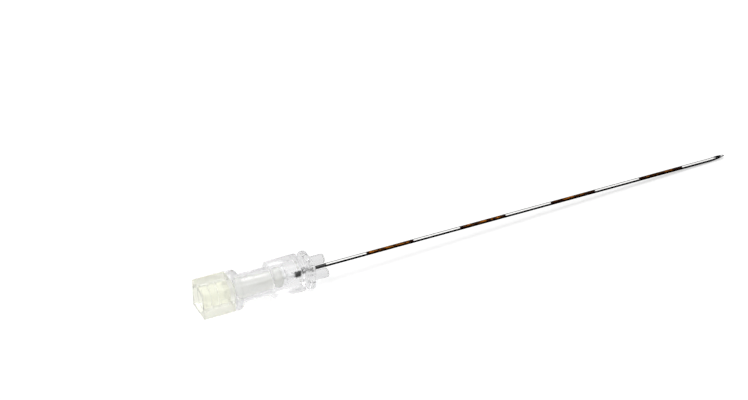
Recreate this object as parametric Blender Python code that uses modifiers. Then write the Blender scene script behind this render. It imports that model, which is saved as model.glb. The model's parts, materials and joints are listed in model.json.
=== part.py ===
"""Epidural needle: clear hub, banded steel cannula with a curved bevelled tip, and its stylet.

Every piece is placed along the needle's own axis, local X, with the point at +X. One empty
carries them all and lays the needle down as it comes to rest: on the rim of its round flange
and the heel of its curved tip, with the origin under the middle of its length.
"""

import math

import bmesh
import bpy
from mathutils import Matrix, Vector

MM = 0.001

# Steel cannula, 22 gauge
CANNULA_OD = 0.72 * MM
CANNULA_ID = 0.46 * MM
NEEDLE_LENGTH = 88.45 * MM
TIP_BEND_RADIUS = 12.5 * MM
TIP_BEND_LENGTH = 3.9 * MM
BEVEL_ANGLE = math.radians(4.0)

# Square head of the stylet
HEAD_SIDE = 5.7 * MM
HEAD_LENGTH = 6.4 * MM
HEAD_ROUNDING = 0.22 * MM
RECESS_DIA = 4.8 * MM
RECESS_DEPTH = 0.8 * MM
CORE_DIA = 4.3 * MM
CORE_DEPTH = 5.6 * MM
RIB_COUNT = 2
RIB_PITCH = 1.5 * MM
RIB_HEIGHT = 0.22 * MM

# Plug of the stylet, which seals in the hub's tapered bore
SEAL_LENGTH = 4.3 * MM
SHANK_STEP = 0.14 * MM
PLUG_SHORTFALL = 0.6 * MM
PLUG_GAP = 0.04 * MM
PLUG_NOSE = 0.5 * MM

# Stylet rod
ROD_DIA = 0.36 * MM
ROD_SOCKET_DEPTH = 5.0 * MM
ROD_TIP_SETBACK = 2.6 * MM
ROD_TIP_TAPER = 0.6 * MM

# Hub, outside
FLANGE_DIA = 7.65 * MM
FLANGE_THICKNESS = 1.65 * MM
FLANGE_ROUNDING = 0.6 * MM
NECK_DIA = 5.45 * MM
NECK_LENGTH = 6.1 * MM
BODY_SIDE = 6.4 * MM
BODY_LENGTH = 6.6 * MM
BODY_CORNER = 2.0 * MM
BODY_END_ROUNDING = 0.55 * MM
GROOVE_WIDTH = 0.65 * MM
GROOVE_FLOOR_DIA = 5.1 * MM
COLLAR_SIDE = 6.4 * MM
COLLAR_THICKNESS = 1.25 * MM
COLLAR_CORNER = 1.75 * MM
COLLAR_ROUNDING = 0.35 * MM
PRONG_DIA = 1.84 * MM
PRONG_LENGTH = 3.35 * MM
PRONG_SLOT = 0.96 * MM
PRONG_ROUNDING = 0.35 * MM
PRONG_TURN = math.radians(45.0)

# Hub, inside
LUER_MOUTH_DIA = 4.3 * MM
LUER_TAPER = 0.06
LUER_DEPTH = 10.9 * MM
FUNNEL_DIA = 1.8 * MM
FUNNEL_LENGTH = 1.8 * MM
FUNNEL_THROAT_DIA = 0.5 * MM
POCKET_DEPTH = 2.4 * MM
POCKET_LENGTH = 2.6 * MM
POCKET_SIDE_GAP = 0.04 * MM
GLUE_PROUD = 0.15 * MM

# Clearances
SEAT_GAP = 0.03 * MM
FACE_GAP = 0.05 * MM
OVERCUT = 1.0 * MM

SIDES = 48
FINE_SIDES = 24

# Places along the axis, from the head's end face to the point
TOTAL_LENGTH = (HEAD_LENGTH + FACE_GAP + FLANGE_THICKNESS + NECK_LENGTH + BODY_LENGTH
                + GROOVE_WIDTH + COLLAR_THICKNESS + PRONG_LENGTH + NEEDLE_LENGTH)
HEAD_X = -TOTAL_LENGTH / 2
HEAD_FRONT_X = HEAD_X + HEAD_LENGTH
FLANGE_X = HEAD_FRONT_X + FACE_GAP
NECK_X = FLANGE_X + FLANGE_THICKNESS
BODY_X = NECK_X + NECK_LENGTH
GROOVE_X = BODY_X + BODY_LENGTH
COLLAR_X = GROOVE_X + GROOVE_WIDTH
COLLAR_FRONT_X = COLLAR_X + COLLAR_THICKNESS
PRONG_FRONT_X = COLLAR_FRONT_X + PRONG_LENGTH
POINT_X = PRONG_FRONT_X + NEEDLE_LENGTH
LUER_END_X = FLANGE_X + LUER_DEPTH
THROAT_X = LUER_END_X + FUNNEL_LENGTH
CANNULA_X = THROAT_X + FACE_GAP
POCKET_X = COLLAR_FRONT_X - POCKET_DEPTH
PLUG_END_X = LUER_END_X - PLUG_SHORTFALL
SEAL_END_X = HEAD_FRONT_X + SEAL_LENGTH

# Curve of the tip: where it starts, and how far the point has risen above the axis
BEND_REACH = TIP_BEND_RADIUS * math.sin(TIP_BEND_LENGTH / TIP_BEND_RADIUS)
BEND_X = POINT_X - BEND_REACH
OUTER_BEND_RADIUS = TIP_BEND_RADIUS + CANNULA_OD / 2
POINT_RISE = TIP_BEND_RADIUS - math.sqrt(OUTER_BEND_RADIUS ** 2 - BEND_REACH ** 2)

# Rest: the line that touches both the flange's rim and the underside of the curve
RIM_X = NECK_X - FLANGE_ROUNDING
RIM_DROP = FLANGE_DIA / 2 * math.cos(math.pi / SIDES)
SPAN = BEND_X - RIM_X
FALL = TIP_BEND_RADIUS + RIM_DROP
REST_TILT = math.acos(OUTER_BEND_RADIUS / math.hypot(SPAN, FALL)) - math.atan2(SPAN, FALL)
REST_Z = RIM_X * math.sin(REST_TILT) + RIM_DROP * math.cos(REST_TILT)
REAR_X = HEAD_X * math.cos(REST_TILT) - HEAD_SIDE / 2 * math.sin(REST_TILT)
FRONT_X = POINT_X * math.cos(REST_TILT) + POINT_RISE * math.sin(REST_TILT)
REST_X = -(REAR_X + FRONT_X) / 2


def clear_scene():
    for item in list(bpy.data.objects):
        bpy.data.objects.remove(item, do_unlink=True)


def make_collection(name):
    collection = bpy.data.collections.new(name)
    bpy.context.scene.collection.children.link(collection)
    return collection


def make_material(name, colour, roughness, metallic=0.0, transmission=0.0, ior=1.5):
    material = bpy.data.materials.new(name)
    material.use_nodes = True
    shader = material.node_tree.nodes["Principled BSDF"]
    shader.inputs["Base Color"].default_value = (*colour, 1.0)
    shader.inputs["Roughness"].default_value = roughness
    shader.inputs["Metallic"].default_value = metallic
    shader.inputs["Transmission Weight"].default_value = transmission
    shader.inputs["IOR"].default_value = ior
    return material


def make_rest_empty(collection):
    """The empty that lays the needle down on its flange and tip."""
    rest = bpy.data.objects.new("rest", None)
    rest.location = (REST_X, 0.0, REST_Z)
    rest.rotation_euler = (0.0, REST_TILT, 0.0)
    collection.objects.link(rest)
    return rest


def add_object(name, mesh, collection, location=(0.0, 0.0, 0.0), rotation=(0.0, 0.0, 0.0)):
    item = bpy.data.objects.new(name, mesh)
    item.location = location
    item.rotation_euler = rotation
    item.parent = bpy.data.objects["rest"]
    collection.objects.link(item)
    return item


def as_tool(item):
    """Mark an object as a shape that only cuts or joins another."""
    item.hide_render = True
    item.display_type = 'WIRE'
    return item


def revolve(name, profile, collection, sides=SIDES):
    """Turn a profile of (place along X, radius) points about the needle's axis."""
    half_step = math.pi / sides
    points = [(radius * math.cos(half_step), radius * math.sin(half_step), place)
              for place, radius in reversed(profile)]
    mesh = bpy.data.meshes.new(name)
    edges = [(index, index + 1) for index in range(len(points) - 1)]
    mesh.from_pydata(points, edges, [])
    item = add_object(name, mesh, collection, rotation=(0.0, math.pi / 2, 0.0))
    screw = item.modifiers.new("turned", 'SCREW')
    screw.axis = 'Z'
    screw.angle = 2 * math.pi
    screw.steps = sides
    screw.render_steps = sides
    screw.use_merge_vertices = True
    screw.merge_threshold = 1e-8
    return item


def block(name, start, length, width, height, collection, turn=0.0):
    """A block along the axis, with its scale applied to the mesh."""
    shape = bmesh.new()
    bmesh.ops.create_cube(shape, size=1.0)
    bmesh.ops.scale(shape, vec=(length, width, height), verts=shape.verts)
    mesh = bpy.data.meshes.new(name)
    shape.to_mesh(mesh)
    shape.free()
    return add_object(name, mesh, collection, (start + length / 2, 0.0, 0.0), (turn, 0.0, 0.0))


def rounded_block(name, start, length, side, corner, ends, collection):
    """A square block with its long edges rounded first, and then both ends."""
    item = block(name, start, length, side, side, collection)
    layer = item.data.attributes.new("bevel_weight_edge", 'FLOAT', 'EDGE')
    for edge in item.data.edges:
        first, second = (item.data.vertices[index].co for index in edge.vertices)
        layer.data[edge.index].value = 1.0 if abs(first.x - second.x) > length / 2 else 0.0
    long_edges = item.modifiers.new("corners", 'BEVEL')
    long_edges.limit_method = 'WEIGHT'
    long_edges.width = corner
    long_edges.segments = 6
    end_edges = item.modifiers.new("ends", 'BEVEL')
    end_edges.limit_method = 'ANGLE'
    end_edges.angle_limit = math.radians(60.0)
    end_edges.width = ends
    end_edges.segments = 4
    return item


def rod(name, start, length, radius, collection, sides, across=(0.0, 0.0), nose=0.0):
    """A round bar along the axis, shifted across it, with its far end rounded."""
    shape = bmesh.new()
    bmesh.ops.create_cone(shape, cap_ends=True, segments=sides, radius1=radius,
                          radius2=radius, depth=length)
    bmesh.ops.rotate(shape, verts=shape.verts, matrix=Matrix.Rotation(math.pi / 2, 3, 'Y'))
    mesh = bpy.data.meshes.new(name)
    shape.to_mesh(mesh)
    shape.free()
    item = add_object(name, mesh, collection, (start + length / 2, *across))
    if nose > 0.0:
        layer = mesh.attributes.new("bevel_weight_edge", 'FLOAT', 'EDGE')
        for edge in mesh.edges:
            ends = [mesh.vertices[index].co.x for index in edge.vertices]
            layer.data[edge.index].value = 1.0 if min(ends) > length / 4 else 0.0
        bevel = item.modifiers.new("nose", 'BEVEL')
        bevel.limit_method = 'WEIGHT'
        bevel.width = nose
        bevel.segments = 4
    return item


def bent_tube_core(name, radius, start, straight_end, collection):
    """The straight run and the upward arc of the cannula, as one round bar."""
    arc_steps = 12
    sweep = (TIP_BEND_LENGTH + OVERCUT) / TIP_BEND_RADIUS
    points = [Vector((start, 0.0, 0.0)), Vector((straight_end, 0.0, 0.0))]
    for step in range(1, arc_steps + 1):
        angle = sweep * step / arc_steps
        points.append(Vector((straight_end + TIP_BEND_RADIUS * math.sin(angle), 0.0,
                              TIP_BEND_RADIUS * (1 - math.cos(angle)))))
    curve = bpy.data.curves.new(name, 'CURVE')
    curve.dimensions = '3D'
    curve.bevel_depth = radius
    curve.bevel_resolution = FINE_SIDES // 4 - 1
    curve.use_fill_caps = True
    spline = curve.splines.new('POLY')
    spline.points.add(len(points) - 1)
    for point, target in zip(spline.points, points):
        point.co = (*target, 1.0)
    guide = add_object(name + "_guide", curve, collection)
    bpy.context.view_layer.update()
    graph = bpy.context.evaluated_depsgraph_get()
    mesh = bpy.data.meshes.new_from_object(guide.evaluated_get(graph))
    shape = bmesh.new()
    shape.from_mesh(mesh)
    bmesh.ops.remove_doubles(shape, verts=shape.verts, dist=1e-7)
    shape.to_mesh(mesh)
    shape.free()
    item = add_object(name, mesh, collection)
    item.matrix_world = guide.matrix_world.copy()
    bpy.data.objects.remove(guide, do_unlink=True)
    return item


def boolean(item, tool, operation='DIFFERENCE'):
    modifier = item.modifiers.new(tool.name, 'BOOLEAN')
    modifier.operation = operation
    modifier.solver = 'EXACT'
    modifier.object = as_tool(tool)


def finish(item, material, angle=30.0):
    """Give a piece its material and smooth its round faces."""
    item.data.materials.append(material)
    item.data.shade_smooth()
    item.data.set_sharp_from_angle(angle=math.radians(angle))


def rounded_rim(start, end, radius, rounding, steps=5):
    """Profile points across a rim whose two edges are rounded."""
    points = []
    for step in range(steps + 1):
        angle = math.pi / 2 * step / steps
        points.append((start + rounding * (1 - math.cos(angle)),
                       radius - rounding * (1 - math.sin(angle))))
    mirrored = [(start + end - place, height) for place, height in reversed(points)]
    return points + mirrored


def luer_radius(place):
    """Radius of the hub's tapered bore at a place along the axis."""
    return (LUER_MOUTH_DIA - LUER_TAPER * (place - FLANGE_X)) / 2


def make_hub(parts, tools, material):
    """One clear moulding: flange, neck, square body, wing groove, collar and two prongs."""
    neck_radius = NECK_DIA / 2
    groove_radius = GROOVE_FLOOR_DIA / 2
    neck_end_x = BODY_X + BODY_LENGTH / 2
    outline = [(FLANGE_X, 0.0)]
    outline += rounded_rim(FLANGE_X, NECK_X, FLANGE_DIA / 2, FLANGE_ROUNDING)
    outline += [(NECK_X, neck_radius), (neck_end_x, neck_radius), (neck_end_x, groove_radius),
                (COLLAR_X + COLLAR_THICKNESS / 2, groove_radius),
                (COLLAR_X + COLLAR_THICKNESS / 2, 0.0)]
    hub = revolve("hub", outline, parts)

    boolean(hub, rounded_block("body_block", BODY_X, BODY_LENGTH, BODY_SIDE, BODY_CORNER,
                               BODY_END_ROUNDING, tools), 'UNION')
    boolean(hub, rounded_block("collar_block", COLLAR_X, COLLAR_THICKNESS, COLLAR_SIDE,
                               COLLAR_CORNER, COLLAR_ROUNDING, tools), 'UNION')
    prong_offset = (PRONG_SLOT + PRONG_DIA) / 2
    prong_root = COLLAR_THICKNESS / 2
    for name, side in (("upper_prong", 1.0), ("lower_prong", -1.0)):
        across = (side * prong_offset * math.sin(PRONG_TURN),
                  side * prong_offset * math.cos(PRONG_TURN))
        prong = rod(name, COLLAR_FRONT_X - prong_root, PRONG_LENGTH + prong_root, PRONG_DIA / 2,
                    tools, FINE_SIDES, across, PRONG_ROUNDING)
        boolean(hub, prong, 'UNION')

    seat_radius = CANNULA_OD / 2 + SEAT_GAP
    bore = [(FLANGE_X - OVERCUT, 0.0),
            (FLANGE_X - OVERCUT, luer_radius(FLANGE_X - OVERCUT)),
            (LUER_END_X, luer_radius(LUER_END_X)),
            (LUER_END_X, FUNNEL_DIA / 2),
            (THROAT_X, FUNNEL_THROAT_DIA / 2),
            (THROAT_X, seat_radius),
            (POCKET_X + POCKET_DEPTH / 2, seat_radius),
            (POCKET_X + POCKET_DEPTH / 2, 0.0)]
    boolean(hub, revolve("luer_bore", bore, tools))
    boolean(hub, make_pocket("glue_pocket", POCKET_X, POCKET_DEPTH + OVERCUT, 0.0, tools))
    finish(hub, material)


def make_pocket(name, start, length, gap, collection):
    """The slot-shaped pocket between the prongs, or the adhesive that fills it."""
    width = PRONG_SLOT - 2 * POCKET_SIDE_GAP - 2 * gap
    item = block(name, start, length, POCKET_LENGTH - 2 * gap, width, collection, -PRONG_TURN)
    rounding = item.modifiers.new("rounding", 'BEVEL')
    rounding.width = width / 4
    rounding.segments = 3
    return item


def make_adhesive(parts, tools, material):
    """The bead that bonds the cannula in the hub's pocket."""
    bead = make_pocket("adhesive", POCKET_X + SEAT_GAP, POCKET_DEPTH - SEAT_GAP + GLUE_PROUD,
                       SEAT_GAP, parts)
    hole = rod("adhesive_hole", POCKET_X - OVERCUT, POCKET_DEPTH + 3 * OVERCUT,
               CANNULA_OD / 2 + SEAT_GAP, tools, FINE_SIDES)
    boolean(bead, hole)
    finish(bead, material)


def make_cannula(parts, tools, material):
    """Steel tube whose last stretch curves up and is ground to a side-facing opening."""
    cannula = bent_tube_core("cannula", CANNULA_OD / 2, CANNULA_X, BEND_X, parts)
    lumen = bent_tube_core("lumen", CANNULA_ID / 2, CANNULA_X - OVERCUT, BEND_X, tools)
    boolean(cannula, lumen)
    size = 4 * TIP_BEND_LENGTH
    grinder = block("bevel_block", 0.0, size, size, size, tools)
    grinder.matrix_basis = (Matrix.Translation((POINT_X, 0.0, POINT_RISE))
                            @ Matrix.Rotation(BEVEL_ANGLE, 4, 'Y')
                            @ Matrix.Translation((0.0, 0.0, size / 2)))
    boolean(cannula, grinder)
    finish(cannula, material, 40.0)


def make_stylet_cap(parts, tools, material):
    """One moulding: square hollow head with ribs in its bore, and the plug that seals the hub."""
    cap = rounded_block("stylet_cap", HEAD_X, HEAD_LENGTH, HEAD_SIDE, HEAD_ROUNDING,
                        HEAD_ROUNDING * 0.8, parts)
    root_x = HEAD_FRONT_X - (HEAD_LENGTH - CORE_DEPTH) / 2
    plug = [(root_x, 0.0),
            (root_x, luer_radius(FLANGE_X) - PLUG_GAP),
            (FLANGE_X, luer_radius(FLANGE_X) - PLUG_GAP),
            (SEAL_END_X, luer_radius(SEAL_END_X) - PLUG_GAP),
            (SEAL_END_X, luer_radius(SEAL_END_X) - PLUG_GAP - SHANK_STEP),
            (PLUG_END_X - PLUG_NOSE, luer_radius(PLUG_END_X - PLUG_NOSE) - PLUG_GAP - SHANK_STEP),
            (PLUG_END_X, luer_radius(PLUG_END_X) - PLUG_GAP - SHANK_STEP - PLUG_NOSE),
            (PLUG_END_X, 0.0)]
    boolean(cap, revolve("plug", plug, tools), 'UNION')

    core_radius = CORE_DIA / 2
    rib_radius = core_radius - RIB_HEIGHT
    hollow = [(HEAD_X - OVERCUT, 0.0), (HEAD_X - OVERCUT, RECESS_DIA / 2),
              (HEAD_X + RECESS_DEPTH, RECESS_DIA / 2), (HEAD_X + RECESS_DEPTH, core_radius)]
    for index in range(RIB_COUNT):
        start = HEAD_X + RECESS_DEPTH + RIB_PITCH * (index + 0.6)
        hollow += [(start, core_radius), (start + RIB_PITCH * 0.15, rib_radius),
                   (start + RIB_PITCH * 0.25, rib_radius), (start + RIB_PITCH * 0.4, core_radius)]
    hollow += [(HEAD_X + CORE_DEPTH, core_radius), (HEAD_X + CORE_DEPTH, 0.0)]
    boolean(cap, revolve("head_hollow", hollow, tools))

    socket = rod("rod_socket", PLUG_END_X - ROD_SOCKET_DEPTH, ROD_SOCKET_DEPTH + OVERCUT,
                 ROD_DIA / 2 + SEAT_GAP, tools, FINE_SIDES)
    boolean(cap, socket)
    finish(cap, material)


def make_stylet_rod(parts, material):
    """Plastic rod that fills the cannula as far as the curve of the tip allows."""
    start = PLUG_END_X - ROD_SOCKET_DEPTH + SEAT_GAP
    end = POINT_X - ROD_TIP_SETBACK
    stylet = revolve("stylet_rod", [(start, 0.0), (start, ROD_DIA / 2),
                                    (end - ROD_TIP_TAPER, ROD_DIA / 2),
                                    (end, ROD_DIA / 4), (end, 0.0)], parts, 16)
    finish(stylet, material)


def main():
    clear_scene()
    parts = make_collection("epidural_needle")
    tools = make_collection("cutters")
    make_rest_empty(parts)
    clear = make_material("clear_plastic", (0.93, 0.94, 0.95), 0.06, 0.0, 1.0, 1.53)
    yellow = make_material("pale_yellow_plastic", (0.80, 0.82, 0.52), 0.12, 0.0, 0.85, 1.5)
    steel = make_material("steel", (0.62, 0.62, 0.63), 0.22, 1.0)
    glue = make_material("clear_adhesive", (0.80, 0.82, 0.84), 0.15, 0.0, 0.9, 1.48)
    nylon = make_material("stylet_plastic", (0.85, 0.85, 0.82), 0.4)
    make_hub(parts, tools, clear)
    make_cannula(parts, tools, steel)
    make_adhesive(parts, tools, glue)
    make_stylet_cap(parts, tools, yellow)
    make_stylet_rod(parts, nylon)


main()
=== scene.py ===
"""Epidural needle: fine surfaces, finishes, camera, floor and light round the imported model.

Every fine piece is built along the needle's own axis, local X, with the point at +X. One
transform, read from the frame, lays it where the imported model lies.
"""

import json
import math

import bmesh
import bpy
from mathutils import Matrix, Vector


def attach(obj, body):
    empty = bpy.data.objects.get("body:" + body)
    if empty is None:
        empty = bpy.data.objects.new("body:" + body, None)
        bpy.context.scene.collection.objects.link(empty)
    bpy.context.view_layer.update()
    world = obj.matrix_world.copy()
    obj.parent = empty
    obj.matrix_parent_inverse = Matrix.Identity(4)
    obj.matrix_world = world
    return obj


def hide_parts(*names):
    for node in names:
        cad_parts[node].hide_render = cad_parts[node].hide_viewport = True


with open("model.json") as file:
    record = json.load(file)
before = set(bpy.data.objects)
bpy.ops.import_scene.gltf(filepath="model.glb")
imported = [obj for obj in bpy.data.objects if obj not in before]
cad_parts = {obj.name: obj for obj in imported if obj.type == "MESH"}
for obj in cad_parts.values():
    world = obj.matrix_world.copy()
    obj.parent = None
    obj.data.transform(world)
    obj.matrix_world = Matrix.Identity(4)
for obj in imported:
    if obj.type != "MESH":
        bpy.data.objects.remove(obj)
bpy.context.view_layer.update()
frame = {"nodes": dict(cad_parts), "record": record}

MM = 0.001

# Steel cannula
CANNULA_OD = 0.72 * MM
CANNULA_ID = 0.46 * MM
NEEDLE_LENGTH = 88.45 * MM
TIP_BEND_RADIUS = 12.5 * MM
TIP_BEND_LENGTH = 3.9 * MM
BEVEL_ANGLE = math.radians(4.0)
TIP_SETBACK = 0.18 * MM
OPEN_WALL_LENGTH = 0.75 * MM
BAND_LENGTH = 10.0 * MM
DARK_END_LENGTH = 1.1 * MM

# Square head of the stylet, and its plug
HEAD_SIDE = 5.7 * MM
HEAD_LENGTH = 6.4 * MM
HEAD_ROUNDING = 0.22 * MM
HEAD_END_ROUNDING = HEAD_ROUNDING * 0.8
RECESS_DIA = 4.8 * MM
RECESS_DEPTH = 0.8 * MM
CORE_DIA = 4.3 * MM
CORE_DEPTH = 5.6 * MM
RIB_COUNT = 2
RIB_PITCH = 1.5 * MM
RIB_HEIGHT = 0.22 * MM
RIB_START = 0.6  # share of the pitch
RIB_SHAPE = ((0.0, 0.0), (0.15, 1.0), (0.25, 1.0), (0.4, 0.0))  # shares of pitch and height
SEAL_LENGTH = 4.3 * MM
SHANK_STEP = 0.14 * MM
PLUG_SHORTFALL = 0.6 * MM
PLUG_GAP = 0.04 * MM
PLUG_NOSE = 0.5 * MM
ROD_DIA = 0.36 * MM
ROD_SOCKET_DEPTH = 5.0 * MM

# Hub
FLANGE_DIA = 7.63 * MM
FLANGE_THICKNESS = 1.65 * MM
FLANGE_ROUNDING = 0.6 * MM
NECK_DIA = 5.45 * MM
NECK_LENGTH = 6.1 * MM
BODY_SIDE = 6.4 * MM
BODY_LENGTH = 6.6 * MM
BODY_CORNER = 2.0 * MM
BODY_END_ROUNDING = 0.55 * MM
GROOVE_WIDTH = 0.65 * MM
GROOVE_FLOOR_DIA = 5.1 * MM
COLLAR_SIDE = 6.4 * MM
COLLAR_THICKNESS = 1.25 * MM
COLLAR_CORNER = 1.75 * MM
COLLAR_ROUNDING = 0.35 * MM
PRONG_DIA = 1.84 * MM
PRONG_LENGTH = 3.35 * MM
PRONG_SLOT = 0.96 * MM
PRONG_ROUNDING = 0.35 * MM
PRONG_ROOT = COLLAR_THICKNESS * 0.45
PRONG_TURN = math.radians(45.0)
LUER_MOUTH_DIA = 4.3 * MM
LUER_TAPER = 0.06
LUER_DEPTH = 10.9 * MM
FUNNEL_DIA = 1.8 * MM
FUNNEL_LENGTH = 1.8 * MM
FUNNEL_THROAT_DIA = 0.5 * MM
POCKET_DEPTH = 2.4 * MM
POCKET_LENGTH = 2.6 * MM
POCKET_SIDE_GAP = 0.04 * MM
GLUE_PROUD = 0.15 * MM
RIPPLE_PITCH = 0.5 * MM
SEAT_GAP = 0.03 * MM
FACE_GAP = 0.05 * MM
OVERCUT = 1.0 * MM
WELD = 0.001 * MM
SIDES = 128
FINE_SIDES = 48
CORNER_SEGMENTS = 12
END_SEGMENTS = 8
NOSE_STEPS = 8
ARC_STEPS = 24
POCKET_SEGMENTS = 6

# Places along the axis, from the head's end face to the point
TOTAL_LENGTH = (HEAD_LENGTH + FACE_GAP + FLANGE_THICKNESS + NECK_LENGTH + BODY_LENGTH
                + GROOVE_WIDTH + COLLAR_THICKNESS + PRONG_LENGTH + NEEDLE_LENGTH)
HEAD_X = -TOTAL_LENGTH / 2
HEAD_FRONT_X = HEAD_X + HEAD_LENGTH
FLANGE_X = HEAD_FRONT_X + FACE_GAP
NECK_X = FLANGE_X + FLANGE_THICKNESS
BODY_X = NECK_X + NECK_LENGTH
GROOVE_X = BODY_X + BODY_LENGTH
COLLAR_X = GROOVE_X + GROOVE_WIDTH
COLLAR_FRONT_X = COLLAR_X + COLLAR_THICKNESS
PRONG_FRONT_X = COLLAR_FRONT_X + PRONG_LENGTH
POINT_X = PRONG_FRONT_X + NEEDLE_LENGTH
LUER_END_X = FLANGE_X + LUER_DEPTH
THROAT_X = LUER_END_X + FUNNEL_LENGTH
CANNULA_X = THROAT_X + FACE_GAP
POCKET_X = COLLAR_FRONT_X - POCKET_DEPTH
PLUG_END_X = LUER_END_X - PLUG_SHORTFALL
SEAL_END_X = HEAD_FRONT_X + SEAL_LENGTH
BEND_REACH = TIP_BEND_RADIUS * math.sin(TIP_BEND_LENGTH / TIP_BEND_RADIUS)
BEND_X = POINT_X - BEND_REACH
POINT_RISE = TIP_BEND_RADIUS - math.sqrt((TIP_BEND_RADIUS + CANNULA_OD / 2) ** 2 - BEND_REACH ** 2)

# The camera of the photograph, in the needle's own frame, about a place 80 mm behind the point
CAMERA_AZIMUTH = math.radians(-25.58)
CAMERA_ELEVATION = math.radians(33.62)
CAMERA_DISTANCE = 482.1 * MM
CAMERA_RIGHT = 1.527 * MM
CAMERA_UP = 10.258 * MM
CAMERA_AIM_X = POINT_X - 80.0 * MM
CAMERA_LENS = 121.86
SENSOR_WIDTH = 36.0
CLIP_NEAR = 0.01
CLIP_FAR = 20.0

# Plastics, with roughness and colour behind and ahead of the place where they change: the
# roughness is the finish, and the darker colour ahead is painted shade
BODY_COLOUR = (0.955, 0.955, 0.961, 1.0)
# Painted shade: the collar and prongs are the same moulding as the body, painted a darker grey
COLLAR_SHADE_COLOUR = (0.88, 0.88, 0.886, 1.0)
HUB_CLEARNESS = 0.99
HUB_ROUGHNESS = (0.15, 0.1)
HUB_IOR = 1.4
HUB_CLOUD_SCALE = 700.0
HEAD_COLOUR = (0.96, 0.965, 0.885, 1.0)
# Painted shade: the plug is the same moulding as the head, painted darker and less yellow
PLUG_SHADE_COLOUR = (0.85, 0.855, 0.82, 1.0)
CAP_CLEARNESS = 0.84
CAP_ROUGHNESS = (0.2, 0.4)
CAP_IOR = 1.34
CAP_CLOUD_SCALE = 500.0
CLOUD_SPREAD = (0.6, 1.4)
SHADOW_TINT = (0.94, 0.94, 0.94, 1.0)
ROD_TONES = (0.74, 0.84)
ROD_CLOUD_SCALE = 900.0
ROD_ROUGHNESS = 0.4

# Adhesive
# Painted shade: the dark tone of the wavy arcs in the adhesive
GLUE_SHADE_TONES = (0.12, 0.95)
GLUE_ROUGHNESS = 0.08
GLUE_IOR = 1.45
GLUE_CLEARNESS = 0.95

# Steel, its oxide bands and its bore
STEEL_COLOUR = (0.92, 0.915, 0.905, 1.0)
STEEL_ROUGHNESS = 0.15
OXIDE_ROUGHNESS = 0.25
OXIDE_STOPS = ((0.44, (0.016, 0.005, 0.003, 1.0)), (0.66, (0.56, 0.17, 0.012, 1.0)))
OXIDE_SCALE = 3000.0
OXIDE_STRETCH = (0.45, 1.0, 1.0)
BANDED_LENGTH = 8 * BAND_LENGTH
TIP_DARKENING = 0.84
BAND_END_DARKENING = 0.6
BAND_END_START = 0.2 * MM
BAND_END_LENGTH = 1.0 * MM
# Painted shade: the steel between the prongs is painted near-black
ROOT_SHADE_COLOUR = (0.1, 0.1, 0.1, 1.0)
# Painted shade: the rear end of the steel inside the hub, painted black as the dark of its hollow
# end
REAR_SHADE_COLOUR = (0.01, 0.01, 0.01, 1.0)
# Painted shade inside the bore, and painted light where its wall lies open
BORE_SHADE_TONES = (0.01, 0.7)
BORE_ROUGHNESS = (0.4, 0.7)
BORE_GRAIN_SCALE = 4000.0
BORE_FADE = 0.1 * MM

# Stage and light
WHITE = (1.0, 1.0, 1.0, 1.0)
LIGHT_TILT = math.radians(10.0)
FLOOR_REACH = 4.0
FLOOR_DROP = 0.05 * MM
FLOOR_COLOUR = (0.75, 0.75, 0.75, 1.0)
FLOOR_LIFT = 0.38
ROOM_LEVEL = 0.88
ROOM_FILL = 0.75
CARD_REACH = 40.0 * MM
CARD_START = 1.0 * MM
CARD_NEAR_RISE = math.radians(40.0)
CARD_FAR_RISE = math.radians(52.0)
PANEL_LEVEL = 1.0
OVERHEAD_PLACE = (0.26, 0.19, 0.79)
OVERHEAD_SIZE = 0.38
OVERHEAD_POWER = 1.5
FRONT_PLACE = (0.28, -0.51, 0.63)
FRONT_SIZE = 0.15
FRONT_POWER = 0.2
CLEAR_BOUNCES = 24
GLOSSY_BOUNCES = 12
OPEN_BOUNCES = 16


def lay_down():
    """The transform from the needle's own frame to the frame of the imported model."""
    record = frame["record"]
    axis = Vector(record["behaviour"]["joints"][0]["axis"])
    tilt = Matrix.Rotation(math.atan2(axis.z, -axis.x), 4, 'Y')
    mounts = {mount["name"]: mount for mount in record["mounts"]}
    place = Vector(mounts["guard_seat"]["pos_m"])
    seat = Vector((COLLAR_X + COLLAR_THICKNESS / 2, 0.0, COLLAR_SIDE / 2))
    return Matrix.Translation(place - tilt.to_3x3() @ seat) @ tilt


REST = lay_down()


def new_object(name, mesh, matrix=None):
    item = bpy.data.objects.new(name, mesh)
    item.matrix_world = matrix if matrix is not None else Matrix()
    bpy.context.scene.collection.objects.link(item)
    return item


def mesh_of(item):
    """The object's mesh with its modifiers applied, in its own coordinates."""
    bpy.context.view_layer.update()
    graph = bpy.context.evaluated_depsgraph_get()
    return bpy.data.meshes.new_from_object(item.evaluated_get(graph))


def revolve(name, profile, sides=SIDES):
    """Turn a profile of (place along X, radius) points about the needle's axis."""
    points = [(radius, 0.0, place) for place, radius in reversed(profile)]
    mesh = bpy.data.meshes.new(name)
    mesh.from_pydata(points, [(index, index + 1) for index in range(len(points) - 1)], [])
    item = new_object(name, mesh, Matrix.Rotation(math.pi / 2, 4, 'Y'))
    screw = item.modifiers.new("turned", 'SCREW')
    screw.steps = sides
    screw.render_steps = sides
    screw.use_merge_vertices = True
    screw.merge_threshold = 1e-8
    return item


def block(name, start, length, width, height, turn=0.0):
    shape = bmesh.new()
    bmesh.ops.create_cube(shape, size=1.0)
    bmesh.ops.scale(shape, vec=(length, width, height), verts=shape.verts)
    mesh = bpy.data.meshes.new(name)
    shape.to_mesh(mesh)
    shape.free()
    return new_object(name, mesh, Matrix.Translation((start + length / 2, 0.0, 0.0))
                      @ Matrix.Rotation(turn, 4, 'X'))


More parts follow.
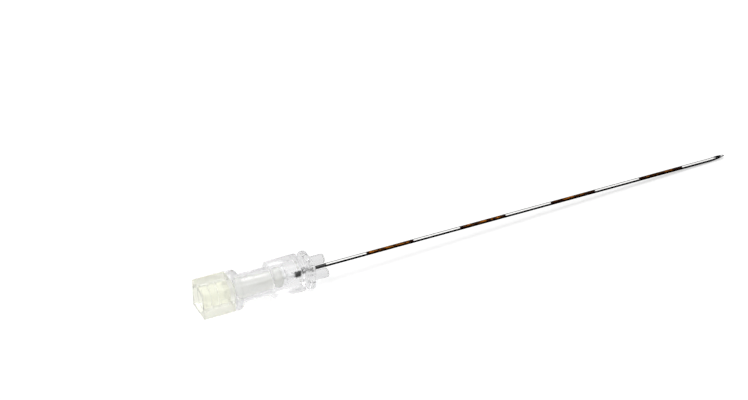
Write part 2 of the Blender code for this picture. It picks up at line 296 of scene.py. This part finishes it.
def rounded_block(name, start, length, side, corner, ends):
    """A square block with its long edges rounded first, and then both ends."""
    item = block(name, start, length, side, side)
    layer = item.data.attributes.new("bevel_weight_edge", 'FLOAT', 'EDGE')
    for edge in item.data.edges:
        first, second = (item.data.vertices[index].co for index in edge.vertices)
        layer.data[edge.index].value = 1.0 if abs(first.x - second.x) > length / 2 else 0.0
    long_edges = item.modifiers.new("corners", 'BEVEL')
    long_edges.limit_method = 'WEIGHT'
    long_edges.width = corner
    long_edges.segments = CORNER_SEGMENTS
    end_edges = item.modifiers.new("ends", 'BEVEL')
    end_edges.limit_method = 'ANGLE'
    end_edges.angle_limit = math.radians(60.0)
    end_edges.width = ends
    end_edges.segments = END_SEGMENTS
    return item


def rod(name, start, length, radius, across=(0.0, 0.0), nose=0.0):
    """A round bar along the axis, shifted across it, with its far end rounded."""
    profile = [(start, 0.0), (start, radius)]
    if nose > 0.0:
        for step in range(NOSE_STEPS + 1):
            angle = math.pi / 2 * step / NOSE_STEPS
            profile.append((start + length - nose * (1 - math.sin(angle)),
                            radius - nose * (1 - math.cos(angle))))
    else:
        profile.append((start + length, radius))
    profile.append((start + length, 0.0))
    item = revolve(name, profile, FINE_SIDES)
    item.matrix_world = Matrix.Translation((0.0, *across)) @ item.matrix_world
    return item


def bent_bar(name, radius, start, straight_end):
    """The straight run and the upward arc of the cannula, as one round bar."""
    sweep = (TIP_BEND_LENGTH + OVERCUT) / TIP_BEND_RADIUS
    spine = [(start, 0.0, 0.0), (straight_end, 0.0, 0.0)]
    for step in range(1, ARC_STEPS + 1):
        angle = sweep * step / ARC_STEPS
        spine.append((straight_end + TIP_BEND_RADIUS * math.sin(angle),
                      TIP_BEND_RADIUS * (1 - math.cos(angle)), angle))
    shape = bmesh.new()
    rings = []
    for place, rise, angle in spine:
        ring = []
        for step in range(FINE_SIDES):
            turn = 2 * math.pi * step / FINE_SIDES
            out = radius * math.cos(turn)
            ring.append(shape.verts.new((place - out * math.sin(angle), radius * math.sin(turn),
                                         rise + out * math.cos(angle))))
        rings.append(ring)
    for first, second in zip(rings, rings[1:]):
        for step in range(FINE_SIDES):
            after = (step + 1) % FINE_SIDES
            shape.faces.new((first[step], first[after], second[after], second[step]))
    shape.faces.new(list(reversed(rings[0])))
    shape.faces.new(rings[-1])
    bmesh.ops.recalc_face_normals(shape, faces=shape.faces)
    mesh = bpy.data.meshes.new(name)
    shape.to_mesh(mesh)
    shape.free()
    return new_object(name, mesh)


def combine(name, base, tools, material, body, replaced, sharp=30.0):
    """Cut and join the tools into the base, apply it all, and set the piece on its body."""
    for tool, operation in tools:
        modifier = base.modifiers.new(tool.name, 'BOOLEAN')
        modifier.operation = operation
        modifier.solver = 'EXACT'
        modifier.object = tool
    mesh = mesh_of(base)
    shape = bmesh.new()
    shape.from_mesh(mesh)
    bmesh.ops.remove_doubles(shape, verts=shape.verts, dist=WELD)
    shape.to_mesh(mesh)
    shape.free()
    mesh.transform(REST @ base.matrix_world)
    for item in [base] + [tool for tool, _ in tools]:
        bpy.data.objects.remove(item, do_unlink=True)
    mesh.materials.clear()
    mesh.materials.append(material)
    mesh.shade_smooth()
    mesh.set_sharp_from_angle(angle=math.radians(sharp))
    piece = new_object(name, mesh)
    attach(piece, body)
    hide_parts(replaced)
    return piece


def rounded_rim(start, end, radius, rounding, steps=12):
    """Profile points across a rim whose two edges are rounded."""
    points = []
    for step in range(steps + 1):
        angle = math.pi / 2 * step / steps
        points.append((start + rounding * (1 - math.cos(angle)),
                       radius - rounding * (1 - math.sin(angle))))
    mirrored = [(start + end - place, height) for place, height in reversed(points)]
    return points + mirrored


def luer_radius(place):
    return (LUER_MOUTH_DIA - LUER_TAPER * (place - FLANGE_X)) / 2


def make_hub(material):
    neck_radius = NECK_DIA / 2
    groove_radius = GROOVE_FLOOR_DIA / 2
    neck_end_x = BODY_X + BODY_LENGTH / 2
    outline = [(FLANGE_X, 0.0)]
    outline += rounded_rim(FLANGE_X, NECK_X, FLANGE_DIA / 2, FLANGE_ROUNDING)
    outline += [(NECK_X, neck_radius), (neck_end_x, neck_radius), (neck_end_x, groove_radius),
                (COLLAR_X + COLLAR_THICKNESS / 2, groove_radius),
                (COLLAR_X + COLLAR_THICKNESS / 2, 0.0)]
    tools = [(rounded_block("body_block", BODY_X, BODY_LENGTH, BODY_SIDE, BODY_CORNER,
                            BODY_END_ROUNDING), 'UNION'),
             (rounded_block("collar_block", COLLAR_X, COLLAR_THICKNESS, COLLAR_SIDE,
                            COLLAR_CORNER, COLLAR_ROUNDING), 'UNION')]
    offset = (PRONG_SLOT + PRONG_DIA) / 2
    for name, side in (("upper_prong", 1.0), ("lower_prong", -1.0)):
        across = (side * offset * math.sin(PRONG_TURN), side * offset * math.cos(PRONG_TURN))
        tools.append((rod(name, COLLAR_FRONT_X - PRONG_ROOT, PRONG_LENGTH + PRONG_ROOT,
                          PRONG_DIA / 2, across, PRONG_ROUNDING), 'UNION'))
    seat_radius = CANNULA_OD / 2 + SEAT_GAP
    bore = [(FLANGE_X - OVERCUT, 0.0),
            (FLANGE_X - OVERCUT, luer_radius(FLANGE_X - OVERCUT)),
            (LUER_END_X, luer_radius(LUER_END_X)),
            (LUER_END_X, FUNNEL_DIA / 2),
            (THROAT_X, FUNNEL_THROAT_DIA / 2),
            (THROAT_X, seat_radius),
            (POCKET_X + POCKET_DEPTH / 2, seat_radius),
            (POCKET_X + POCKET_DEPTH / 2, 0.0)]
    tools.append((revolve("luer_bore", bore), 'DIFFERENCE'))
    tools.append((make_pocket("glue_pocket", POCKET_X, POCKET_DEPTH + OVERCUT, 0.0), 'DIFFERENCE'))
    return combine("clear_hub", revolve("hub_blank", outline), tools, material, "needle", "hub")


def make_pocket(name, start, length, gap):
    """The slot-shaped pocket between the prongs, or the adhesive that fills it."""
    width = PRONG_SLOT - 2 * POCKET_SIDE_GAP - 2 * gap
    item = block(name, start, length, POCKET_LENGTH - 2 * gap, width, -PRONG_TURN)
    rounding = item.modifiers.new("rounding", 'BEVEL')
    rounding.width = width / 4
    rounding.segments = POCKET_SEGMENTS
    return item


def make_adhesive(material):
    bead = make_pocket("bead_blank", POCKET_X + SEAT_GAP, POCKET_DEPTH - SEAT_GAP + GLUE_PROUD,
                       SEAT_GAP)
    hole = rod("bead_hole", POCKET_X - OVERCUT, POCKET_DEPTH + 3 * OVERCUT,
               CANNULA_OD / 2 + SEAT_GAP)
    return combine("glue_bead", bead, [(hole, 'DIFFERENCE')], material, "needle", "adhesive")


def make_cannula(material, shaded_bore_material):
    tube = bent_bar("tube_blank", CANNULA_OD / 2, CANNULA_X, BEND_X)
    lumen = bent_bar("lumen", CANNULA_ID / 2, CANNULA_X - OVERCUT, BEND_X)
    size = 4 * TIP_BEND_LENGTH
    grinder = block("grinder", 0.0, size, size, size)
    grinder.matrix_world = (Matrix.Translation((POINT_X - TIP_SETBACK, 0.0, POINT_RISE))
                            @ Matrix.Rotation(BEVEL_ANGLE, 4, 'Y')
                            @ Matrix.Translation((0.0, 0.0, size / 2)))
    tools = [(lumen, 'DIFFERENCE'), (grinder, 'DIFFERENCE')]
    piece = combine("banded_cannula", tube, tools, material, "needle", "cannula", 40.0)
    mesh = piece.data
    mesh.materials.append(shaded_bore_material)
    back = REST.inverted()
    off_axis = [distance_from_axis(back @ vertex.co) for vertex in mesh.vertices]
    # The bore's wall takes the material with the painted shade and light
    for face in mesh.polygons:
        if max(off_axis[index] for index in face.vertices) < (CANNULA_ID + CANNULA_OD) / 4:
            face.material_index = 1
    return piece


def distance_from_axis(place):
    """How far a point lies from the bent axis of the cannula."""
    if place.x < BEND_X:
        return math.hypot(place.y, place.z)
    reach = math.hypot(place.x - BEND_X, place.z - TIP_BEND_RADIUS)
    return math.hypot(place.y, reach - TIP_BEND_RADIUS)


def make_stylet_cap(material):
    head = rounded_block("head_blank", HEAD_X, HEAD_LENGTH, HEAD_SIDE, HEAD_ROUNDING,
                         HEAD_END_ROUNDING)
    root_x = HEAD_FRONT_X - (HEAD_LENGTH - CORE_DEPTH) / 2
    plug = [(root_x, 0.0),
            (root_x, luer_radius(FLANGE_X) - PLUG_GAP),
            (FLANGE_X, luer_radius(FLANGE_X) - PLUG_GAP),
            (SEAL_END_X, luer_radius(SEAL_END_X) - PLUG_GAP),
            (SEAL_END_X, luer_radius(SEAL_END_X) - PLUG_GAP - SHANK_STEP),
            (PLUG_END_X - PLUG_NOSE, luer_radius(PLUG_END_X - PLUG_NOSE) - PLUG_GAP - SHANK_STEP),
            (PLUG_END_X, luer_radius(PLUG_END_X) - PLUG_GAP - SHANK_STEP - PLUG_NOSE),
            (PLUG_END_X, 0.0)]
    core_radius = CORE_DIA / 2
    hollow = [(HEAD_X - OVERCUT, 0.0), (HEAD_X - OVERCUT, RECESS_DIA / 2),
              (HEAD_X + RECESS_DEPTH, RECESS_DIA / 2), (HEAD_X + RECESS_DEPTH, core_radius)]
    for index in range(RIB_COUNT):
        start = HEAD_X + RECESS_DEPTH + RIB_PITCH * (index + RIB_START)
        hollow += [(start + RIB_PITCH * along, core_radius - RIB_HEIGHT * height)
                   for along, height in RIB_SHAPE]
    hollow += [(HEAD_X + CORE_DEPTH, core_radius), (HEAD_X + CORE_DEPTH, 0.0)]
    socket = rod("rod_socket", PLUG_END_X - ROD_SOCKET_DEPTH, ROD_SOCKET_DEPTH + OVERCUT,
                 ROD_DIA / 2 + SEAT_GAP)
    tools = [(revolve("plug", plug), 'UNION'),
             (revolve("head_hollow", hollow), 'DIFFERENCE'),
             (socket, 'DIFFERENCE')]
    return combine("yellow_cap", head, tools, material, "stylet", "stylet_cap")


class Nodes:
    """A short way to build the node tree of a material or of the world.

    An input is named with its spaces as underscores, or with i and its number.
    """

    def __init__(self, tree):
        self.tree = tree
        self.tree.nodes.clear()

    def add(self, kind, settings=None, **inputs):
        node = self.tree.nodes.new(kind)
        for name, value in (settings or {}).items():
            setattr(node, name, value)
        for name, value in inputs.items():
            key = name.replace("_", " ")
            socket = node.inputs[int(name[1:])] if name[1:].isdigit() else node.inputs[key]
            if isinstance(value, bpy.types.NodeSocket):
                self.tree.links.new(value, socket)
            else:
                socket.default_value = value
        return node

    def grey(self, tone):
        """The grey colour of a varying tone."""
        level = tone.outputs[0]
        return self.add('ShaderNodeCombineColor', Red=level, Green=level, Blue=level).outputs[0]


def new_material(name):
    """An empty material, and the short way to build its nodes."""
    material = bpy.data.materials.new(name)
    material.use_nodes = True
    return material, Nodes(material.node_tree)


def let_lamps_by(nodes, clear):
    """End a clear material, so that the lamps' shadow rays pass through it."""
    open_way = nodes.add('ShaderNodeBsdfTransparent', Color=SHADOW_TINT)
    path = nodes.add('ShaderNodeLightPath')
    shaded = nodes.add('ShaderNodeMixShader', Fac=path.outputs["Is Shadow Ray"],
                       i1=clear.outputs[0], i2=open_way.outputs[0])
    nodes.add('ShaderNodeOutputMaterial', Surface=shaded.outputs[0])


def place_along(nodes, where):
    """The place of a point along the needle, as a node output."""
    along = nodes.add('ShaderNodeVectorMath', {"operation": 'DOT_PRODUCT'},
                      i0=where.outputs["Object"], i1=REST.to_3x3() @ Vector((1.0, 0.0, 0.0)))
    start = REST.translation.dot(REST.to_3x3() @ Vector((1.0, 0.0, 0.0)))
    return nodes.add('ShaderNodeMath', {"operation": 'SUBTRACT'}, i0=along.outputs["Value"],
                     i1=start).outputs[0]


def plastic_material(name, split, colours, clearness, roughness, ior, cloud_scale):
    """Moulded plastic, slightly cloudy: it lets the lamps by.

    colours and roughness are pairs, behind and ahead of the place called split.
    """
    material, nodes = new_material(name)
    where = nodes.add('ShaderNodeTexCoord')
    cloud = nodes.add('ShaderNodeTexNoise', Vector=where.outputs["Object"], Scale=cloud_scale,
                      Detail=2.0)
    spread = nodes.add('ShaderNodeMapRange', Value=cloud.outputs["Fac"], To_Min=CLOUD_SPREAD[0],
                       To_Max=CLOUD_SPREAD[1])
    ahead = nodes.add('ShaderNodeMapRange', Value=place_along(nodes, where),
                      From_Min=split - FACE_GAP, From_Max=split + FACE_GAP)
    level = nodes.add('ShaderNodeMapRange', Value=ahead.outputs[0], To_Min=roughness[0],
                      To_Max=roughness[1])
    rough = nodes.add('ShaderNodeMath', {"operation": 'MULTIPLY'}, i0=spread.outputs[0],
                      i1=level.outputs[0])
    tone = nodes.add('ShaderNodeMix', {"data_type": 'RGBA'}, i0=ahead.outputs[0],
                     i6=colours[0], i7=colours[1])
    clear = nodes.add('ShaderNodeBsdfPrincipled', Base_Color=tone.outputs[2], IOR=ior,
                      Roughness=rough.outputs[0], Transmission_Weight=clearness)
    let_lamps_by(nodes, clear)
    return material


def steel_material():
    """Drawn steel with brown oxide bands, which repeat from the point and are darker near it.
    Between the prongs, and at its rear end inside the hub, it is painted near-black: painted
    shade.
    """
    material, nodes = new_material("banded_steel")
    where = nodes.add('ShaderNodeTexCoord')
    from_point = nodes.add('ShaderNodeMath', {"operation": 'SUBTRACT'}, i0=POINT_X,
                           i1=place_along(nodes, where))
    phase = nodes.add('ShaderNodeMath', {"operation": 'FLOORED_MODULO'},
                      i0=from_point.outputs[0], i1=2 * BAND_LENGTH)
    second_half = nodes.add('ShaderNodeMath', {"operation": 'GREATER_THAN'},
                            i0=phase.outputs[0], i1=BAND_LENGTH)
    last = nodes.add('ShaderNodeMath', {"operation": 'LESS_THAN'},
                     i0=from_point.outputs[0], i1=BANDED_LENGTH)
    band = nodes.add('ShaderNodeMath', {"operation": 'MULTIPLY'},
                     i0=second_half.outputs[0], i1=last.outputs[0])
    stretched = nodes.add('ShaderNodeMapping', Vector=where.outputs["Object"],
                          Scale=OXIDE_STRETCH)
    mottle = nodes.add('ShaderNodeTexNoise', Vector=stretched.outputs[0], Scale=OXIDE_SCALE,
                       Detail=3.0, Roughness=0.7)
    inward = nodes.add('ShaderNodeMath', {"operation": 'PINGPONG'}, i0=from_point.outputs[0],
                       i1=BAND_LENGTH / 2)
    faded = nodes.add('ShaderNodeMapRange', Value=inward.outputs[0], From_Min=BAND_END_START,
                      From_Max=BAND_END_LENGTH, To_Min=BAND_END_DARKENING, To_Max=1.0)
    darker = nodes.add('ShaderNodeMapRange', Value=from_point.outputs[0],
                       From_Max=BANDED_LENGTH, To_Min=TIP_DARKENING, To_Max=1.0)
    patches = nodes.add('ShaderNodeMath', {"operation": 'MULTIPLY'}, i0=mottle.outputs["Fac"],
                        i1=darker.outputs[0])
    oxide = nodes.add('ShaderNodeMath', {"operation": 'MULTIPLY'}, i0=patches.outputs[0],
                      i1=faded.outputs[0])
    brown = nodes.add('ShaderNodeValToRGB', Fac=oxide.outputs[0])
    ramp_stops(brown, OXIDE_STOPS)
    colour = nodes.add('ShaderNodeMix', {"data_type": 'RGBA'}, i0=band.outputs[0],
                       i6=STEEL_COLOUR, i7=brown.outputs[0])
    # Painted shade and dark reflection: the steel between the prongs, painted near-black
    behind = nodes.add('ShaderNodeMath', {"operation": 'GREATER_THAN'}, i0=from_point.outputs[0],
                       i1=POINT_X - PRONG_FRONT_X)
    free = nodes.add('ShaderNodeMath', {"operation": 'LESS_THAN'}, i0=from_point.outputs[0],
                     i1=POINT_X - COLLAR_FRONT_X)
    root = nodes.add('ShaderNodeMath', {"operation": 'MULTIPLY'}, i0=behind.outputs[0],
                     i1=free.outputs[0])
    prong_shaded = nodes.add('ShaderNodeMix', {"data_type": 'RGBA'}, i0=root.outputs[0],
                       i6=colour.outputs[2], i7=ROOT_SHADE_COLOUR)
    # Painted shade: the last part of the steel inside the hub is painted black
    rear = nodes.add('ShaderNodeMath', {"operation": 'GREATER_THAN'}, i0=from_point.outputs[0],
                     i1=POINT_X - CANNULA_X - DARK_END_LENGTH)
    rear_shaded = nodes.add('ShaderNodeMix', {"data_type": 'RGBA'}, i0=rear.outputs[0],
                      i6=prong_shaded.outputs[2], i7=REAR_SHADE_COLOUR)
    rough = nodes.add('ShaderNodeMapRange', Value=band.outputs[0], To_Min=STEEL_ROUGHNESS,
                      To_Max=OXIDE_ROUGHNESS)
    steel = nodes.add('ShaderNodeBsdfPrincipled', Metallic=1.0, Base_Color=rear_shaded.outputs[2],
                      Roughness=rough.outputs[0])
    nodes.add('ShaderNodeOutputMaterial', Surface=steel.outputs[0])
    return material


def shaded_bore_material():
    """The wall of the cannula's bore: dull, painted dark as shade inside, and painted pale as
    light where it lies open.
    """
    material, nodes = new_material("bore_painted_shade")
    where = nodes.add('ShaderNodeTexCoord')
    grain = nodes.add('ShaderNodeTexNoise', Vector=where.outputs["Object"],
                      Scale=BORE_GRAIN_SCALE)
    rough = nodes.add('ShaderNodeMapRange', Value=grain.outputs["Fac"], To_Min=BORE_ROUGHNESS[0],
                      To_Max=BORE_ROUGHNESS[1])
    tone = nodes.add('ShaderNodeMapRange', Value=place_along(nodes, where),
                     From_Min=POINT_X - OPEN_WALL_LENGTH - BORE_FADE,
                     From_Max=POINT_X - OPEN_WALL_LENGTH, To_Min=BORE_SHADE_TONES[0],
                     To_Max=BORE_SHADE_TONES[1])
    wall = nodes.add('ShaderNodeBsdfPrincipled', Metallic=1.0, Base_Color=nodes.grey(tone),
                     Roughness=rough.outputs[0])
    nodes.add('ShaderNodeOutputMaterial', Surface=wall.outputs[0])
    return material


def glue_material():
    """Clear adhesive, with dark wavy arcs painted across its rear part: painted shade standing in
    for the dark steel seen bent through it.
    """
    material, nodes = new_material("glue_painted_shade")
    where = nodes.add('ShaderNodeTexCoord')
    # Painted shade: dark wavy arcs standing in for the steel seen bent through the adhesive
    ripples = nodes.add('ShaderNodeTexWave', {"bands_direction": 'X'},
                        Vector=where.outputs["Object"], Scale=2 * math.pi / (20 * RIPPLE_PITCH),
                        Distortion=2.0, Detail=1.0, Detail_Scale=0.6)
    tone = nodes.add('ShaderNodeMapRange', Value=ripples.outputs["Fac"], From_Min=0.35,
                     From_Max=0.65, To_Min=GLUE_SHADE_TONES[0], To_Max=GLUE_SHADE_TONES[1])
    calm = nodes.add('ShaderNodeMapRange', Value=place_along(nodes, where),
                     From_Min=COLLAR_X, From_Max=COLLAR_X + RIPPLE_PITCH)
    paler = nodes.add('ShaderNodeMath', {"operation": 'MAXIMUM'}, i0=tone.outputs[0],
                      i1=calm.outputs[0])
    clear = nodes.add('ShaderNodeBsdfPrincipled', Base_Color=nodes.grey(paler),
                      Roughness=GLUE_ROUGHNESS, IOR=GLUE_IOR, Transmission_Weight=GLUE_CLEARNESS)
    let_lamps_by(nodes, clear)
    return material


def rod_material():
    material, nodes = new_material("stylet_rod_plastic")
    where = nodes.add('ShaderNodeTexCoord')
    cloud = nodes.add('ShaderNodeTexNoise', Vector=where.outputs["Object"], Scale=ROD_CLOUD_SCALE)
    tone = nodes.add('ShaderNodeMapRange', Value=cloud.outputs["Fac"], To_Min=ROD_TONES[0],
                     To_Max=ROD_TONES[1])
    plastic = nodes.add('ShaderNodeBsdfPrincipled', Base_Color=nodes.grey(tone),
                        Roughness=ROD_ROUGHNESS)
    nodes.add('ShaderNodeOutputMaterial', Surface=plastic.outputs[0])
    return material


def make_camera():
    """The camera at the angle of the photograph."""
    right = Vector((math.cos(CAMERA_AZIMUTH), math.sin(CAMERA_AZIMUTH), 0.0))
    back = Vector((math.sin(CAMERA_AZIMUTH) * math.cos(CAMERA_ELEVATION),
                   -math.cos(CAMERA_AZIMUTH) * math.cos(CAMERA_ELEVATION),
                   math.sin(CAMERA_ELEVATION)))
    up = back.cross(right)
    place = (Vector((CAMERA_AIM_X, 0.0, 0.0)) + CAMERA_DISTANCE * back + CAMERA_RIGHT * right
             + CAMERA_UP * up)
    turned = Matrix((right, up, back)).transposed().to_4x4()
    data = bpy.data.cameras.new("photo_camera")
    data.sensor_width = SENSOR_WIDTH
    data.lens = CAMERA_LENS
    data.clip_start = CLIP_NEAR
    data.clip_end = CLIP_FAR
    camera = bpy.data.objects.new("photo_camera", data)
    camera.matrix_world = REST @ Matrix.Translation(place) @ turned
    bpy.context.scene.collection.objects.link(camera)
    bpy.context.scene.camera = camera


def make_floor():
    """A pale floor. The camera sees it white, and clear or shiny things see the room's level."""
    shape = bmesh.new()
    bmesh.ops.create_grid(shape, x_segments=1, y_segments=1, size=FLOOR_REACH)
    mesh = bpy.data.meshes.new("floor")
    shape.to_mesh(mesh)
    shape.free()
    floor = new_object("floor", mesh, Matrix.Translation((0.0, 0.0, -FLOOR_DROP)))
    material, nodes = new_material("pale_floor")
    matt = nodes.add('ShaderNodeBsdfDiffuse', Color=FLOOR_COLOUR)
    path = nodes.add('ShaderNodeLightPath')
    lift = nodes.add('ShaderNodeMath', {"operation": 'MULTIPLY'},
                     i0=path.outputs["Is Camera Ray"], i1=FLOOR_LIFT)
    glow = nodes.add('ShaderNodeEmission', Strength=lift.outputs[0])
    both = nodes.add('ShaderNodeAddShader', i0=matt.outputs[0], i1=glow.outputs[0])
    indirect = nodes.add('ShaderNodeMath', {"operation": 'MAXIMUM'},
                         i0=path.outputs["Is Glossy Ray"], i1=path.outputs["Is Transmission Ray"])
    plain = nodes.add('ShaderNodeEmission', Strength=ROOM_LEVEL)
    seen = nodes.add('ShaderNodeMixShader', Fac=indirect.outputs[0], i1=both.outputs[0],
                     i2=plain.outputs[0])
    nodes.add('ShaderNodeOutputMaterial', Surface=seen.outputs[0])
    mesh.materials.append(material)


def make_tent():
    """A tent round the cannula, which only reflections see.

    Black card stands at both sides and lies below, and a soft panel is above.
    """
    near_top = CARD_REACH * math.tan(CARD_NEAR_RISE)
    far_top = CARD_REACH * math.tan(CARD_FAR_RISE)
    bottom = -FLOOR_DROP / 2
    outline = ((-CARD_REACH, near_top), (-CARD_REACH, bottom), (CARD_REACH, bottom),
               (CARD_REACH, far_top))
    shape = bmesh.new()
    edges = [[shape.verts.new((place, across, height)) for across, height in outline]
             for place in (PRONG_FRONT_X - CARD_START, POINT_X + CARD_REACH)]
    for index in range(len(outline)):
        after = (index + 1) % len(outline)
        side = shape.faces.new((edges[0][index], edges[0][after], edges[1][after],
                                edges[1][index]))
        side.material_index = 1 if after == 0 else 0
    mesh = bpy.data.meshes.new("tent")
    shape.to_mesh(mesh)
    shape.free()
    for name, level in (("black_card", 0.0), ("soft_panel", PANEL_LEVEL)):
        material, nodes = new_material(name)
        glow = nodes.add('ShaderNodeEmission', Color=WHITE, Strength=level)
        nodes.add('ShaderNodeOutputMaterial', Surface=glow.outputs[0])
        mesh.materials.append(material)
    tent = new_object("tent", mesh)
    tent.visible_camera = False
    tent.visible_diffuse = False
    tent.visible_transmission = False
    tent.visible_volume_scatter = False
    tent.visible_shadow = False


def make_world():
    """A pale room, a little brighter overhead. The camera sees plain white."""
    world = bpy.data.worlds.new("studio")
    bpy.context.scene.world = world
    world.use_nodes = True
    nodes = Nodes(world.node_tree)
    where = nodes.add('ShaderNodeTexCoord')
    facing = nodes.add('ShaderNodeVectorMath', {"operation": 'DOT_PRODUCT'},
                       i0=where.outputs["Generated"], i1=light_direction(LIGHT_TILT))
    room = nodes.add('ShaderNodeValToRGB', Fac=facing.outputs["Value"])
    ramp_stops(room, ((0.0, (ROOM_LEVEL, ROOM_LEVEL, ROOM_LEVEL, 1.0)), (1.0, WHITE)))
    path = nodes.add('ShaderNodeLightPath')
    white = nodes.add('ShaderNodeBackground', Color=WHITE, Strength=1.0)
    pale = nodes.add('ShaderNodeBackground', Color=room.outputs[0], Strength=1.0)
    soft = nodes.add('ShaderNodeBackground', Color=WHITE, Strength=ROOM_FILL)
    first = nodes.add('ShaderNodeMixShader', Fac=path.outputs["Is Camera Ray"],
                      i1=pale.outputs[0], i2=white.outputs[0])
    second = nodes.add('ShaderNodeMixShader', Fac=path.outputs["Is Diffuse Ray"],
                       i1=first.outputs[0], i2=soft.outputs[0])
    nodes.add('ShaderNodeOutputWorld', Surface=second.outputs[0])


def light_direction(tilt):
    """A direction overhead, tilted away from the camera of the photograph."""
    away = Vector((-math.sin(CAMERA_AZIMUTH), math.cos(CAMERA_AZIMUTH), 0.0))
    return (away * math.sin(tilt) + Vector((0.0, 0.0, 1.0)) * math.cos(tilt)).normalized()


def ramp_stops(node, stops):
    """Set the two stops of a colour ramp, as pairs of position and colour."""
    for element, (position, colour) in zip(node.color_ramp.elements, stops):
        element.position = position
        element.color = colour


def make_lamp(name, place, size, power):
    """A round lamp that faces the middle of the floor."""
    data = bpy.data.lights.new(name, 'AREA')
    data.shape = 'DISK'
    data.size = size
    data.energy = power
    lamp = bpy.data.objects.new(name, data)
    lamp.location = place
    lamp.rotation_mode = 'QUATERNION'
    lamp.rotation_quaternion = Vector(place).to_track_quat('Z', 'Y')
    bpy.context.scene.collection.objects.link(lamp)


def main():
    # The hub's collar and the cap's plug get their painted shade from the second colour of each
    # pair
    clear = plastic_material("clear_hub_plastic", GROOVE_X, (BODY_COLOUR, COLLAR_SHADE_COLOUR),
                             HUB_CLEARNESS, HUB_ROUGHNESS, HUB_IOR, HUB_CLOUD_SCALE)
    # The plug's colour, the second of the pair, is painted shade
    yellow = plastic_material("yellow_cap_plastic", HEAD_FRONT_X, (HEAD_COLOUR, PLUG_SHADE_COLOUR),
                              CAP_CLEARNESS, CAP_ROUGHNESS, CAP_IOR, CAP_CLOUD_SCALE)
    make_hub(clear)
    make_stylet_cap(yellow)
    make_adhesive(glue_material())
    make_cannula(steel_material(), shaded_bore_material())
    rod_node = frame["nodes"]["stylet_rod"]
    rod_node.data.materials.clear()
    rod_node.data.materials.append(rod_material())
    make_camera()
    make_floor()
    make_tent()
    make_world()
    make_lamp("overhead", OVERHEAD_PLACE, OVERHEAD_SIZE, OVERHEAD_POWER)
    make_lamp("front", FRONT_PLACE, FRONT_SIZE, FRONT_POWER)
    scene = bpy.context.scene
    scene.view_settings.view_transform = 'Standard'
    scene.cycles.max_bounces = CLEAR_BOUNCES
    scene.cycles.transmission_bounces = CLEAR_BOUNCES
    scene.cycles.glossy_bounces = GLOSSY_BOUNCES
    scene.cycles.transparent_max_bounces = OPEN_BOUNCES


main()
